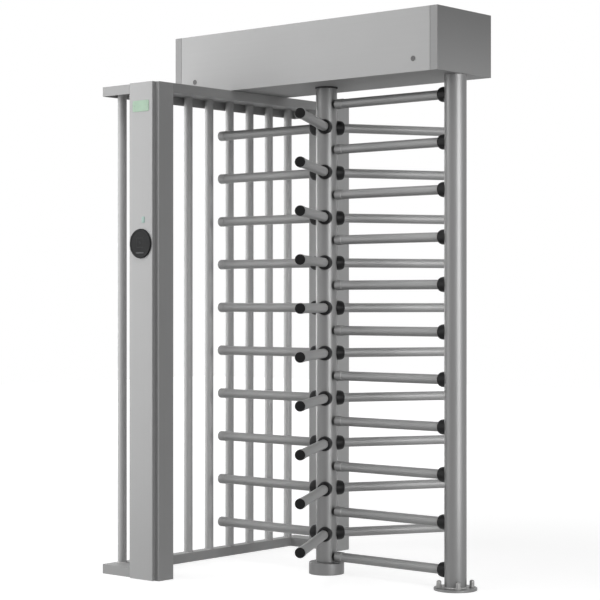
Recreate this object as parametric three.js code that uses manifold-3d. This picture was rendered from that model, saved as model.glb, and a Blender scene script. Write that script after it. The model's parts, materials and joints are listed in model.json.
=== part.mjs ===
// Full height turnstile, built as separate pieces at real size, in millimetres, +Z up.
// The origin is on the rotor axis at floor level. +X runs along the head towards the barrier post,
// and +Y is the way a person walks through.
import * as THREE from 'three';
import { mergeVertices } from 'three/addons/utils/BufferGeometryUtils.js';
import Module from 'manifold-3d';

// Clearances and sheet
const fitGap = 0.3;
const cutOverrun = 4;
const sheet = 3;
const coverSheet = 2;

// Rotor column and its floor pivot
const columnRadius = 44.5;
const columnBore = 40;
const pivotRadius = 75;
const pivotHeight = 50;
const pivotEdge = 4;
const pivotSpigotHeight = 30;
const clearHeight = 2050;
const columnTopGap = 6;

// Arms of the rotor and of the barrier
const armRadius = 19.5;
const armReach = 612;
const rowPitch = 190;
const lowestRotorRow = 170;
const wingCount = 3;
const studRadius = 13;
const collarRadius = 31;
const collarNeckRadius = 24;
const collarLength = 29;
const collarStraight = 12;
const ferruleRadius = 21.5;
const ferruleLength = 36;
const ferruleLip = 1.5;
const plugRadius = 18.5;
const plugLength = 3;

// Barrier post with its comb of fixed arms
const postRadius = 44.5;
const tipClear = 10.5;
const postMargin = 0.5;
const combHeadroom = 12;
const lowestCombRow = 75;
const combTipX = 54;
const flangeRadius = 87.5;
const flangeThickness = 10;
const boltCircleRadius = 66.5;
const boltCount = 4;
const studBoltRadius = 6;
const nutAcrossFlats = 19;
const nutHeight = 12;
const capRadius = 8.5;
const capStraight = 6;
const capHeight = 15;
const washerRadius = 12;
const washerThickness = 2.5;

// Cabinet posts of the guard
const cabinetInset = 162;
const cabinetWidth = 172;
const guardHalfDepth = 620;
const cabinetDepth = 85;
const cabinetCornerRadius = 6;
const lipWidth = 24;
const coverProud = 20;
const coverLeftMargin = 21;
const coverRightMargin = 17;
const coverCornerRadius = 3;
const doorFootGap = 2;

// Card reader and status lens on the front cabinet
const readerHeight = 1385;
const readerRadius = 61.5;
const readerBodyRadius = 46;
const readerBodyDepth = 12;
const readerProud = 7;
const readerEdge = 2.5;
const readerDish = 1;
const readerDishRadius = 52;
const lensDrop = 98;
const lensWidth = 94;
const lensTall = 46;
const lensProud = 1.5;
const lensDepth = 8;
const lensRim = 4;
const lensCornerRadius = 6;

// Guard grille and the trays that tie the two cabinet posts together
const trayHeight = 40;
const railWidth = 50;
const railHeight = 40;
const tubeInset = 30;
const tubeRadius = 19;
const tubeCount = 9;

// Head housing
const headHalfDepth = 183;
const headHeight = 252;
const frontStrip = 35;
const coverSeam = 1.5;
const coverFold = 16;
const floorPlate = 4;
const hingeInset = 9;
const hingeRadius = 5;
const hingePinRadius = 3;
const hingePinReach = 22;
const lidFold = 18;
const lockInset = 118;
const lockRise = 52;
const lockBarrelRadius = 9;
const lockFaceRadius = 11;
const lockFaceProud = 1.5;
const lockBarrelLength = 22;
const camArmLength = 26;
const camArmWidth = 14;
const camArmThickness = 3;
const keeperWidth = 40;
const keeperHeight = 34;
const keySlotWidth = 2;
const keySlotDepth = 1;

// Top bearing, shaft and its discs
const journalRadius = 30;
const shaftRadius = 25;
const shaftHole = 34;
const plugDepth = 30;
const shaftShoulder = 8;
const shaftRise = 146;
const bearingFlange = 150;
const bearingFlangeThickness = 12;
const bearingBossRadius = 52;
const bearingRise = 62;
const sealRadius = 47.5;
const sealHeight = 6;
const sealGap = 0.8;
const mechanismRise = 76;
const mechanismThickness = 8;
const mechanismHalfLength = 262;
const mechanismHalfDepth = 158;
const mechanismLeg = 20;
const mechanismHole = 62;
const mechanismCorner = 12;
const camRise = 92;
const camThickness = 14;
const camMeanRadius = 72;
const camSwing = 12;
const discRise = 112;
const discThickness = 10;
const discRadius = 115;
const notchCount = 12;
const notchDepth = 20;
const notchWidth = 22;
const camHubRadius = 36;
const lightenRadius = 14;
const lightenCircle = 72;
const lightenCount = 6;
const nutRadius = 36;
const shaftNutHeight = 14;

// Locking pawls and their solenoids
const pawlPivotX = 130;
const pawlPivotY = 75;
const pawlBossRadius = 14;
const pawlPinRadius = 6;
const pawlWidth = 16;
const pawlBack = 12;
const pawlWaist = 2;
const pawlWaistStart = 36;
const noseShift = 4;
const pawlNoseClear = 3;
const pawlNoseWidth = 14;
const pawlTail = 55;
const pawlTailShift = 5;
const tailPinRadius = 4;
const tailPinHeight = 12;
const bladeGap = 2;
const bladeThickness = 5;
const bladeWidth = 18;
const bladeSlotExtra = 2.5;
const plungerRadius = 8;
const plungerStroke = 11.6;
const solenoidLength = 70;
const solenoidWidth = 48;
const solenoidHeight = 66;

// Self-centring lever with its roller and spring
const leverPivotX = -98;
const leverPivotY = 118;
const leverThickness = 6;
const leverWidth = 18;
const leverPinRadius = 6;
const rollerRadius = 15;
const rollerPinRadius = 4;
const rollerClear = 0.6;
const springWire = 1.6;
const springTurns = 4;
const springPitch = 4.2;
const springRadius = 9.5;
const springHeight = 22;

// Control unit and power supply in the head
const controlInset = 212;
const controlLength = 220;
const controlDepth = 160;
const controlHeight = 70;
const controlCorner = 8;
const supplyInset = 212;
const supplyLength = 200;
const supplyDepth = 110;
const supplyHeight = 60;
const supplyFins = 7;
const finThickness = 3;
const finHeight = 14;
const lidShare = 0.72;
const seamWidth = 2;

// Facets round a circle, by how much a piece shows
const armSides = 8;
const studSides = 6;
const columnSides = 24;
const discSides = 30;
const camSteps = 48;
const wireSides = 5;
const wireSteps = 8;
const tubeSides = 12;
const cornerSteps = 1;

// Places that follow from the sizes above
const postX = armReach + tipClear + postRadius;
const headHalfLength = postX + postRadius + postMargin;
const cabinetLeft = -headHalfLength + cabinetInset;
const cabinetRight = cabinetLeft + cabinetWidth;
const lensHeight = clearHeight - lensDrop;
const lockX = headHalfLength - lockInset;
const controlX = -headHalfLength + controlInset;
const supplyX = headHalfLength - supplyInset;
const rotorHeadroom = columnTopGap + plugDepth + collarRadius;
const rowsBetween = (lowest, highest) => Math.floor((highest - lowest) / rowPitch) + 1;
const rotorRows = rowsBetween(lowestRotorRow, clearHeight - rotorHeadroom);
const combRows = rowsBetween(lowestCombRow, clearHeight - collarRadius - combHeadroom);

const wasm = await Module();
wasm.setup();

const finishes = {
  satinSteel: { color: 0xb4b7b6, roughness: 0.38, metalness: 0.9 },
  paintedPanel: { color: 0xbec1c0, roughness: 0.45, metalness: 0.5 },
  shadePanel: { color: 0x8d9190, roughness: 0.5, metalness: 0.5 },
  blackPlastic: { color: 0x17181a, roughness: 0.5, metalness: 0 },
  zincSteel: { color: 0xa7abad, roughness: 0.45, metalness: 0.8 },
  greenLens: { color: 0xa9d8b2, roughness: 0.25, metalness: 0 },
  coilBlue: { color: 0x2f3d52, roughness: 0.5, metalness: 0.2 },
};

// A closed body whose shared corners are merged and whose faces point outwards.
function solid(geometry) {
  const bare = new THREE.BufferGeometry();
  bare.setAttribute('position', geometry.getAttribute('position').clone());
  if (geometry.index) bare.setIndex(geometry.index.clone());
  const merged = mergeVertices(bare, 1e-4);
  const place = merged.getAttribute('position').array;
  const corners = [];
  let volume = 0;
  const a = new THREE.Vector3();
  const b = new THREE.Vector3();
  const c = new THREE.Vector3();
  for (let i = 0; i < merged.index.count; i += 3) {
    const [i0, i1, i2] = [0, 1, 2].map((step) => merged.index.getX(i + step));
    if (i0 === i1 || i1 === i2 || i2 === i0) continue;
    corners.push(i0, i1, i2);
    a.fromArray(place, i0 * 3);
    b.fromArray(place, i1 * 3);
    c.fromArray(place, i2 * 3);
    volume += a.dot(b.cross(c));
  }
  if (volume < 0) corners.reverse();
  return new wasm.Manifold(new wasm.Mesh({
    numProp: 3,
    vertProperties: Float32Array.from(place),
    triVerts: Uint32Array.from(corners),
  }));
}

function geometryOf(body) {
  const mesh = body.getMesh();
  const geometry = new THREE.BufferGeometry();
  geometry.setAttribute('position', new THREE.BufferAttribute(Float32Array.from(mesh.vertProperties), 3));
  geometry.setIndex(Array.from(mesh.triVerts));
  geometry.computeVertexNormals();
  return geometry;
}

// A profile of [radius, height] corners, turned about +Z.
function turned(profile, sides) {
  const corners = profile.map(([radius, height]) => new THREE.Vector2(radius, height));
  return solid(new THREE.LatheGeometry(corners, sides).rotateX(Math.PI / 2));
}

function rod(radius, low, high, sides) {
  return turned([[0, low], [radius, low], [radius, high], [0, high]], sides);
}

// A hole is faceted round its circle, so that its flats lie at the radius asked for.
const roundHole = (radius, sides) => radius / Math.cos(Math.PI / sides);

function bore(radius, low, high, sides) {
  return rod(roundHole(radius, sides), low, high, sides);
}

function ring(outer, inner, low, high, sides) {
  return rod(outer, low, high, sides).subtract(bore(inner, low - cutOverrun, high + cutOverrun, sides));
}

// An outline in X and Y, raised from low to high.
function raised(outline, low, high, curveSegments = cornerSteps) {
  const options = { depth: high - low, bevelEnabled: false, curveSegments };
  return solid(new THREE.ExtrudeGeometry(outline, options).translate(0, 0, low));
}

function polygon(corners) {
  return new THREE.Shape(corners.map(([x, y]) => new THREE.Vector2(x, y)));
}

function roundedRectangle(left, front, right, back, radius) {
  const shape = new THREE.Shape();
  shape.moveTo(left + radius, front);
  shape.lineTo(right - radius, front);
  shape.absarc(right - radius, front + radius, radius, -Math.PI / 2, 0, false);
  shape.lineTo(right, back - radius);
  shape.absarc(right - radius, back - radius, radius, 0, Math.PI / 2, false);
  shape.lineTo(left + radius, back);
  shape.absarc(left + radius, back - radius, radius, Math.PI / 2, Math.PI, false);
  shape.lineTo(left, front + radius);
  shape.absarc(left + radius, front + radius, radius, Math.PI, Math.PI * 1.5, false);
  return shape;
}

function block(left, front, low, right, back, high) {
  return raised(polygon([[left, front], [right, front], [right, back], [left, back]]), low, high);
}

function alongX(body) {
  return body.rotate([0, 90, 0]);
}

function alongY(body) {
  return body.rotate([-90, 0, 0]);
}

const turnstile = new THREE.Group();
turnstile.name = 'full_height_turnstile';

function addPiece(name, body, finish) {
  const mesh = new THREE.Mesh(geometryOf(body), new THREE.MeshStandardMaterial(finishes[finish]));
  mesh.name = name;
  turnstile.add(mesh);
  return mesh;
}

const numbered = (name, index) => `${name}_${String(index + 1).padStart(2, '0')}`;

// Barrier post, its floor flange and its four anchor bolts with domed cap nuts.
function barrierPost() {
  const low = flangeThickness;
  return ring(postRadius, postRadius - sheet, low, clearHeight, columnSides).translate([postX, 0, 0]);
}

const boltPlaces = Array.from({ length: boltCount }, (_, k) => {
  const turn = ((k + 0.5) * 2 * Math.PI) / boltCount;
  return [postX + boltCircleRadius * Math.cos(turn), boltCircleRadius * Math.sin(turn)];
});

function barrierFlange() {
  let flange = turned([
    [0, 0],
    [flangeRadius, 0],
    [flangeRadius, flangeThickness - fitGap],
    [flangeRadius - fitGap, flangeThickness],
    [0, flangeThickness],
  ], discSides).translate([postX, 0, 0]);
  for (const [x, y] of boltPlaces) {
    const hole = bore(studBoltRadius + fitGap, -cutOverrun, flangeThickness + cutOverrun, studSides);
    flange = flange.subtract(hole.translate([x, y, 0]));
  }
  return flange;
}

function anchorBolt() {
  const nutBase = flangeThickness + washerThickness;
  const nutTop = nutBase + nutHeight;
  const stud = rod(studBoltRadius, 0, nutTop, studSides);
  const washer = rod(washerRadius, flangeThickness, nutBase, tubeSides);
  const nut = rod(nutAcrossFlats / Math.sqrt(3), nutBase, nutTop, 6);
  const cap = turned([
    [0, nutBase],
    [capRadius, nutBase],
    [capRadius, nutTop + capStraight],
    [capRadius * Math.SQRT1_2, nutTop + capStraight + (capHeight - capStraight) * Math.SQRT1_2],
    [0, nutTop + capHeight],
  ], armSides);
  return stud.add(washer).add(nut).add(cap);
}

// One arm along +X: domed collar, tube, ferrule and end plug. start is where the collar begins.
function armProfile(start, seat, tip) {
  const ferruleStart = tip - plugLength - ferruleLength;
  return [
    [0, start],
    [collarRadius, start],
    [collarRadius, seat + collarStraight],
    [collarNeckRadius, seat + collarLength],
    [armRadius, seat + collarLength],
    [armRadius, ferruleStart],
    [ferruleRadius, ferruleStart + ferruleLip],
    [ferruleRadius, tip - plugLength],
    [plugRadius, tip],
    [0, tip],
  ];
}

// The collar's inner end is hollowed to the round of the tube that it sits on.
function saddledArm(tubeCarrying, tip) {
  const arm = alongX(turned(armProfile(tubeCarrying / 2, tubeCarrying, tip), armSides));
  const tall = collarRadius + cutOverrun;
  return arm.subtract(bore(tubeCarrying + fitGap, -tall, tall, columnSides));
}

function barrierArm() {
  const reach = postX - combTipX;
  return saddledArm(postRadius, reach).rotate([0, 0, 180]).translate([postX, 0, 0]);
}

// Cabinet posts: a folded housing with an open front, and the narrower pan that stands proud of it.
const front = -guardHalfDepth;
const coverFace = front - coverProud;
const coverLeft = cabinetLeft + coverLeftMargin;
const coverRight = cabinetRight - coverRightMargin;

function cabinetHousing() {
  const back = front + cabinetDepth;
  const r = cabinetCornerRadius;
  const shape = new THREE.Shape();
  shape.moveTo(cabinetRight - lipWidth, front);
  shape.lineTo(cabinetRight - r, front);
  shape.absarc(cabinetRight - r, front + r, r, -Math.PI / 2, 0, false);
  shape.lineTo(cabinetRight, back);
  shape.lineTo(cabinetLeft, back);
  shape.lineTo(cabinetLeft, front);
  shape.lineTo(cabinetLeft + lipWidth, front);
  shape.lineTo(cabinetLeft + lipWidth, front + sheet);
  shape.lineTo(cabinetLeft + sheet, front + sheet);
  shape.lineTo(cabinetLeft + sheet, back - sheet);
  shape.lineTo(cabinetRight - sheet, back - sheet);
  shape.lineTo(cabinetRight - sheet, front + r);
  shape.absarc(cabinetRight - r, front + r, r - sheet, 0, -Math.PI / 2, true);
  shape.lineTo(cabinetRight - lipWidth, front + sheet);
  const walls = raised(shape, 0, clearHeight);
  const inside = roundedRectangle(
    cabinetLeft + sheet / 2, front + sheet / 2, cabinetRight - sheet / 2, back - sheet / 2, sheet,
  );
  const foot = raised(inside, 0, sheet);
  const cap = raised(inside, clearHeight - sheet, clearHeight);
  return walls.add(foot).add(cap);
}

function cabinetCover() {
  const r = coverCornerRadius;
  const rim = front - fitGap;
  const outer = roundedRectangle(coverLeft, coverFace, coverRight, rim + r, r);
  const inner = roundedRectangle(
    coverLeft + coverSheet, coverFace + coverSheet, coverRight - coverSheet, rim + r, r - coverSheet,
  );
  const hollow = raised(inner, -cutOverrun, clearHeight - coverSheet);
  const pan = raised(outer, doorFootGap, clearHeight).subtract(hollow);
  const behind = block(
    coverLeft - cutOverrun, rim, -cutOverrun,
    coverRight + cutOverrun, rim + cutOverrun + r, clearHeight + cutOverrun,
  );
  return pan.subtract(behind);
}

const readerX = (coverLeft + coverRight) / 2;

function readerHole() {
  const hole = bore(readerBodyRadius + fitGap, -cutOverrun, coverSheet + cutOverrun, columnSides);
  return alongY(hole).translate([readerX, coverFace, readerHeight]);
}

function lensShape(half, grow) {
  return roundedRectangle(
    -lensWidth / 2 + lensRim - grow, -half - grow,
    lensWidth / 2 - lensRim + grow, half + grow, lensCornerRadius,
  );
}

function lensHole() {
  const half = lensTall / 2 - lensRim;
  const hole = raised(lensShape(half, fitGap), -cutOverrun, coverSheet + cutOverrun);
  return hole.rotate([90, 0, 0]).translate([readerX, coverFace + coverSheet, lensHeight]);
}

function cardReader() {
  const reader = turned([
    [0, -readerBodyDepth],
    [readerBodyRadius, -readerBodyDepth],
    [readerBodyRadius, 0],
    [readerRadius, 0],
    [readerRadius, readerProud - readerEdge],
    [readerRadius - readerEdge, readerProud],
    [readerDishRadius, readerProud],
    [readerDishRadius - readerDish, readerProud - readerDish],
    [0, readerProud - readerDish],
  ], discSides);
  return reader.rotate([90, 0, 0]).translate([readerX, coverFace, readerHeight]);
}

function statusLens() {
  const half = lensTall / 2 - lensRim;
  const rim = roundedRectangle(-lensWidth / 2, -lensTall / 2, lensWidth / 2, lensTall / 2, lensCornerRadius);
  const plate = raised(rim, 0, lensProud);
  const stem = raised(lensShape(half, 0), -lensDepth, lensProud);
  return plate.add(stem).rotate([90, 0, 0]).translate([readerX, coverFace, lensHeight]);
}

// Guard: the tray on top, notched round both cabinet posts, and the welded grille below it.
function guardTopTray() {
  const low = clearHeight - trayHeight;
  const seat = guardHalfDepth - cabinetDepth - fitGap;
  const side = cabinetLeft - fitGap;
  const outline = (wall) => polygon([
    [-headHalfLength + wall, -guardHalfDepth + wall],
    [side - wall, -guardHalfDepth + wall],
    [side - wall, -seat + wall],
    [cabinetRight - wall, -seat + wall],
    [cabinetRight - wall, seat - wall],
    [side - wall, seat - wall],
    [side - wall, guardHalfDepth - wall],
    [-headHalfLength + wall, guardHalfDepth - wall],
  ]);
  const tray = raised(outline(0), low, clearHeight);
  return tray.subtract(raised(outline(sheet), low - cutOverrun, clearHeight - sheet));
}

const tubeX = -headHalfLength + tubeInset;

function guardGrille() {
  const inner = -headHalfLength + railWidth;
  const foot = cabinetLeft - fitGap;
  const seat = guardHalfDepth - cabinetDepth;
  let grille = raised(polygon([
    [-headHalfLength, -guardHalfDepth],
    [foot, -guardHalfDepth],
    [foot, -seat],
    [inner, -seat],
    [inner, seat],
    [foot, seat],
    [foot, guardHalfDepth],
    [-headHalfLength, guardHalfDepth],
  ]), 0, railHeight);
  const pitch = (2 * seat) / (tubeCount - 1);
  for (let k = 0; k < tubeCount; k += 1) {
    const tube = rod(tubeRadius, railHeight / 2, clearHeight - sheet - fitGap, tubeSides);
    grille = grille.add(tube.translate([tubeX, -seat + k * pitch, 0]));
  }
  return grille;
}

// Head housing: a folded chassis open at the front and top, its lid, and the hinged front cover.
const headTop = clearHeight + headHeight;
const floorTop = clearHeight + floorPlate;
const hingeY = -headHalfDepth + hingeInset;
const hingeZ = headTop - hingeInset;
const openingHalf = headHalfLength - frontStrip;
const coverInner = -headHalfDepth + coverSheet;
const camFront = coverInner + lockBarrelLength / 2;
const hingeSweep = Math.hypot(hingeInset, hingeInset) + fitGap;

function headChassis() {
  let chassis = block(-headHalfLength, -headHalfDepth, clearHeight, headHalfLength, headHalfDepth, headTop);
  chassis = chassis.subtract(block(
    -headHalfLength + sheet, -headHalfDepth + sheet, floorTop,
    headHalfLength - sheet, headHalfDepth - sheet, headTop + cutOverrun,
  ));
  chassis = chassis.subtract(block(
    -openingHalf, -headHalfDepth - cutOverrun, clearHeight - cutOverrun,
    openingHalf, coverInner + fitGap, headTop + cutOverrun,
  ));
  chassis = chassis.subtract(block(
    -openingHalf, -headHalfDepth - cutOverrun, floorTop,
    openingHalf, -headHalfDepth + sheet + cutOverrun, headTop + cutOverrun,
  ));
  chassis = chassis.subtract(bore(shaftHole, clearHeight - cutOverrun, floorTop + cutOverrun, columnSides));
  for (const side of [-1, 1]) {
    const pin = alongX(rod(
      hingePinRadius, openingHalf - hingePinReach, headHalfLength - sheet / 2, studSides,
    ));
    const tabX = side * lockX;
    chassis = chassis.add(pin.rotate([0, 0, side < 0 ? 180 : 0]).translate([0, hingeY, hingeZ]));
    chassis = chassis.add(block(
      tabX - keeperWidth / 2, camFront - fitGap - sheet, clearHeight + floorPlate / 2,
      tabX + keeperWidth / 2, camFront - fitGap, floorTop + keeperHeight,
    ));
  }
  return chassis;
}

function headLid() {
  const side = headHalfLength - sheet - fitGap;
  const back = headHalfDepth - sheet - fitGap;
  const frontEdge = hingeY + hingeSweep;
  const lid = block(-side, frontEdge, headTop - lidFold, side, back, headTop);
  return lid.subtract(block(
    -side + coverSheet, frontEdge - cutOverrun, headTop - lidFold - cutOverrun,
    side - coverSheet, back - coverSheet, headTop - coverSheet,
  ));
}

function headFrontCover() {
  const half = openingHalf - coverSeam;
  let cover = block(-half, -headHalfDepth, clearHeight, half, coverInner, headTop);
  cover = cover.add(block(-half, -headHalfDepth, headTop - coverSheet, half, hingeY, headTop));
  for (const side of [-1, 1]) {
    const fold = block(
      half - coverSheet, -headHalfDepth + coverSheet / 2, floorTop + coverFold / 2,
      half, -headHalfDepth + coverFold, hingeZ - hingeRadius - coverSheet,
    );
    cover = cover.add(side < 0 ? fold.mirror([1, 0, 0]) : fold);
    const hole = alongY(bore(lockBarrelRadius + fitGap, -cutOverrun, coverSheet + cutOverrun, tubeSides));
    cover = cover.subtract(hole.translate([side * lockX, -headHalfDepth, clearHeight + lockRise]));
  }
  const knuckle = alongX(rod(hingeRadius, -half, half, tubeSides)).translate([0, hingeY, hingeZ]);
  const web = block(-half, -headHalfDepth, hingeZ - hingeRadius / 2, half, hingeY, headTop);
  cover = cover.add(knuckle).add(web);
  for (const side of [-1, 1]) {
    const reach = hingePinReach + fitGap;
    const drilled = alongX(bore(
      hingePinRadius + fitGap, openingHalf - reach, openingHalf + cutOverrun, studSides,
    ));
    cover = cover.subtract(drilled.rotate([0, 0, side < 0 ? 180 : 0]).translate([0, hingeY, hingeZ]));
  }
  return cover;
}

// Cam lock: at rest its arm lies level, clear of the keeper; a quarter turn swings it down behind.
function coverLock(side) {
  const camDepth = camFront - coverInner + coverSheet;
  const barrel = turned([
    [0, -camDepth - camArmThickness],
    [lockBarrelRadius, -camDepth - camArmThickness],
    [lockBarrelRadius, 0],
    [lockFaceRadius, 0],
    [lockFaceRadius, lockFaceProud],
    [0, lockFaceProud],
  ], tubeSides);
  const arm = raised(roundedRectangle(
    -camArmWidth / 2, -camArmWidth / 2, camArmLength, camArmWidth / 2, camArmWidth / 2 - fitGap,
  ), -camDepth - camArmThickness, -camDepth);
  const slot = block(
    -keySlotWidth / 2, -lockBarrelRadius / 2, lockFaceProud - keySlotDepth,
    keySlotWidth / 2, lockBarrelRadius / 2, lockFaceProud + cutOverrun,
  );
  const lock = barrel.add(arm).subtract(slot).rotate([90, 0, 0]);
  const turnedLock = side > 0 ? lock.mirror([1, 0, 0]) : lock;
  return turnedLock.translate([side * lockX, -headHalfDepth, clearHeight + lockRise]);
}

// Rotor: the column, the shaft that hangs it from the top bearing, and one tier of arms a row.
const columnLow = pivotHeight + fitGap;
const columnHigh = clearHeight - columnTopGap;
const rowHeight = (row) => lowestRotorRow + row * rowPitch;

function floorPivotBase() {
  return turned([
    [0, 0],
    [pivotRadius, 0],
    [pivotRadius, pivotHeight - pivotEdge],
    [pivotRadius - pivotEdge, pivotHeight],
    [columnBore - fitGap, pivotHeight],
    [columnBore - fitGap, pivotHeight + pivotSpigotHeight],
    [0, pivotHeight + pivotSpigotHeight],
  ], discSides);
}

function rotorColumn() {
  let column = ring(columnRadius, columnBore, columnLow, columnHigh, columnSides);
  const hole = alongX(bore(studRadius + fitGap, columnBore / 2, columnRadius + cutOverrun, studSides));
  for (let row = 0; row < rotorRows; row += 1) {
    for (let wing = 0; wing < wingCount; wing += 1) {
      const turn = 180 + (wing * 360) / wingCount;
      column = column.subtract(hole.rotate([0, 0, turn]).translate([0, 0, rowHeight(row)]));
    }
  }
  return column;
}

// Three arms on studs that meet inside the column.
function rotorTier() {
  const arm = saddledArm(columnRadius, armReach);
  const stud = alongX(rod(studRadius, 0, columnRadius + collarStraight, studSides));
  let tier = arm.add(stud).rotate([0, 0, 180]);
  for (let wing = 1; wing < wingCount; wing += 1) {
    const turn = 180 + (wing * 360) / wingCount;
    tier = tier.add(arm.add(stud).rotate([0, 0, turn]));
  }
  return tier;
}

const camLow = clearHeight + camRise;
const discLow = clearHeight + discRise;
const shaftTop = clearHeight + shaftRise;

function rotorShaft() {
  return turned([
    [0, columnHigh - plugDepth],
    [columnBore - fitGap, columnHigh - plugDepth],
    [columnBore - fitGap, columnHigh],
    [journalRadius, columnHigh],
    [journalRadius, camLow],
    [shaftRadius, camLow],
    [shaftRadius, shaftTop - shaftShoulder],
    [shaftRadius - shaftShoulder / 2, shaftTop],
    [0, shaftTop],
  ], columnSides);
}

// Three lobes a third of a turn apart; a hollow faces the roller when the wings are at home.
function centringCam() {
  const outline = [];
  for (let k = 0; k < camSteps; k += 1) {
    const turn = (k * 2 * Math.PI) / camSteps;
    const radius = camMeanRadius + camSwing * Math.cos(wingCount * (turn - Math.PI / 6));
    outline.push([radius * Math.cos(turn), radius * Math.sin(turn)]);
  }
  const cam = raised(polygon(outline), camLow, camLow + camThickness);
  const hub = rod(camHubRadius, camLow, discLow, columnSides);
  const drilled = bore(shaftRadius + fitGap, camLow - cutOverrun, discLow + cutOverrun, columnSides);
  return cam.add(hub).subtract(drilled);
}

function lockingDisc() {
  const high = discLow + discThickness;
  let disc = ring(discRadius, shaftRadius + fitGap, discLow, high, discSides);
  const notch = block(
    discRadius - notchDepth, -notchWidth / 2, discLow - cutOverrun,
    discRadius + cutOverrun, notchWidth / 2, high + cutOverrun,
  );
  for (let k = 0; k < notchCount; k += 1) disc = disc.subtract(notch.rotate([0, 0, (k * 360) / notchCount]));
  for (let k = 0; k < lightenCount; k += 1) {
    const hole = bore(lightenRadius, discLow - cutOverrun, high + cutOverrun, tubeSides);
    const turn = ((k + 0.5) * 2 * Math.PI) / lightenCount;
    disc = disc.subtract(hole.translate([lightenCircle * Math.cos(turn), lightenCircle * Math.sin(turn), 0]));
  }
  return disc;
}

function shaftNut() {
  const low = discLow + discThickness;
  const nut = rod(nutRadius, low, low + shaftNutHeight, 6);
  return nut.subtract(bore(shaftRadius + fitGap, low - cutOverrun, shaftTop + cutOverrun, columnSides));
}

function columnSeal() {
  return ring(sealRadius, columnRadius + sealGap, clearHeight - sealHeight, clearHeight, columnSides);
}

function topBearing() {
  const half = bearingFlange / 2;
  const plate = raised(
    roundedRectangle(-half, -half, half, half, mechanismCorner), floorTop, floorTop + bearingFlangeThickness,
  );
  const boss = rod(bearingBossRadius, floorTop, floorTop + bearingRise, columnSides);
  const drilled = bore(journalRadius + fitGap, clearHeight, floorTop + bearingRise + cutOverrun, columnSides);
  return plate.add(boss).subtract(drilled);
}

// Mechanism plate on four legs, with bores for the pins of both pawls and of the lever.
const plateLow = clearHeight + mechanismRise;
const plateTop = plateLow + mechanismThickness;

function mechanismPlate() {
  let plate = raised(roundedRectangle(
    -mechanismHalfLength, -mechanismHalfDepth, mechanismHalfLength, mechanismHalfDepth, mechanismCorner,
  ), plateLow, plateTop);
  for (const x of [-1, 1]) {
    for (const y of [-1, 1]) {
      const legX = x * (mechanismHalfLength - mechanismLeg);
      const legY = y * (mechanismHalfDepth - mechanismLeg);
      plate = plate.add(block(
        legX - mechanismLeg / 2, legY - mechanismLeg / 2, floorTop,
        legX + mechanismLeg / 2, legY + mechanismLeg / 2, plateTop,
      ));
    }
  }
  const drill = (radius, x, y) => {
    const hole = bore(radius, plateLow - cutOverrun, plateTop + cutOverrun, tubeSides);
    plate = plate.subtract(hole.translate([x, y, 0]));
  };
  drill(mechanismHole, 0, 0);
  drill(pawlPinRadius + fitGap, pawlPivotX, pawlPivotY);
  drill(pawlPinRadius + fitGap, -pawlPivotX, -pawlPivotY);
  drill(leverPinRadius + fitGap, leverPivotX, leverPivotY);
  return plate;
}

// A pawl lies beside the disc at rest. Turned inwards, its nose drops into a notch and locks the rotor.
const bothPawls = [0, 180];
const noseX = discRadius + pawlNoseClear;
const tailPinX = pawlPivotX + pawlTailShift;
const tailPinY = pawlPivotY + pawlTail;

function lockPawl(turn) {
  const half = pawlWidth / 2;
  const noseFoot = -noseShift - pawlNoseWidth / 2;
  const outline = polygon([
    [noseX, noseFoot],
    [pawlPivotX + pawlBack, noseFoot],
    [pawlPivotX + pawlBack, pawlPivotY],
    [tailPinX + half, tailPinY],
    [tailPinX + half, tailPinY + half],
    [tailPinX - half, tailPinY + half],
    [pawlPivotX - half, pawlPivotY],
    [pawlPivotX - half, pawlPivotY - pawlWaistStart],
    [pawlPivotX - pawlWaist, pawlPivotY - pawlWaistStart - half],
    [pawlPivotX - pawlWaist, noseFoot + pawlNoseWidth],
    [noseX, noseFoot + pawlNoseWidth],
  ]);
  const high = discLow + discThickness;
  const lever = raised(outline, discLow, high);
  const boss = rod(pawlBossRadius, plateTop + fitGap, high, tubeSides).translate([pawlPivotX, pawlPivotY, 0]);
  const pin = rod(pawlPinRadius, plateLow, high, tubeSides).translate([pawlPivotX, pawlPivotY, 0]);
  const tailPin = rod(tailPinRadius, discLow, high + tailPinHeight, studSides)
    .translate([tailPinX, tailPinY, 0]);
  return lever.add(boss).add(pin).add(tailPin).rotate([0, 0, turn]);
}

// The plunger's blade holds the pawl's tail pin in a slot and slides in the solenoid.
const bladeLow = discLow + discThickness + bladeGap;
const plungerZ = bladeLow + bladeThickness / 2;
const plungerStart = tailPinX + bladeWidth;
const solenoidStart = plungerStart + plungerStroke + fitGap;

function plunger(turn) {
  const slotHalf = tailPinRadius + fitGap;
  const blade = block(
    tailPinX - bladeWidth / 2, tailPinY - bladeWidth / 2, bladeLow,
    plungerStart, tailPinY + bladeWidth / 2, bladeLow + bladeThickness,
  );
  const slot = block(
    tailPinX - slotHalf, tailPinY - slotHalf - bladeSlotExtra, bladeLow - cutOverrun,
    tailPinX + slotHalf, tailPinY + slotHalf, bladeLow + bladeThickness + cutOverrun,
  );
  const barEnd = solenoidStart + solenoidLength - plungerStroke * 2;
  const bar = alongX(rod(plungerRadius, plungerStart - bladeThickness, barEnd, tubeSides))
    .translate([0, tailPinY, plungerZ]);
  return blade.subtract(slot).add(bar).rotate([0, 0, turn]);
}

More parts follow.
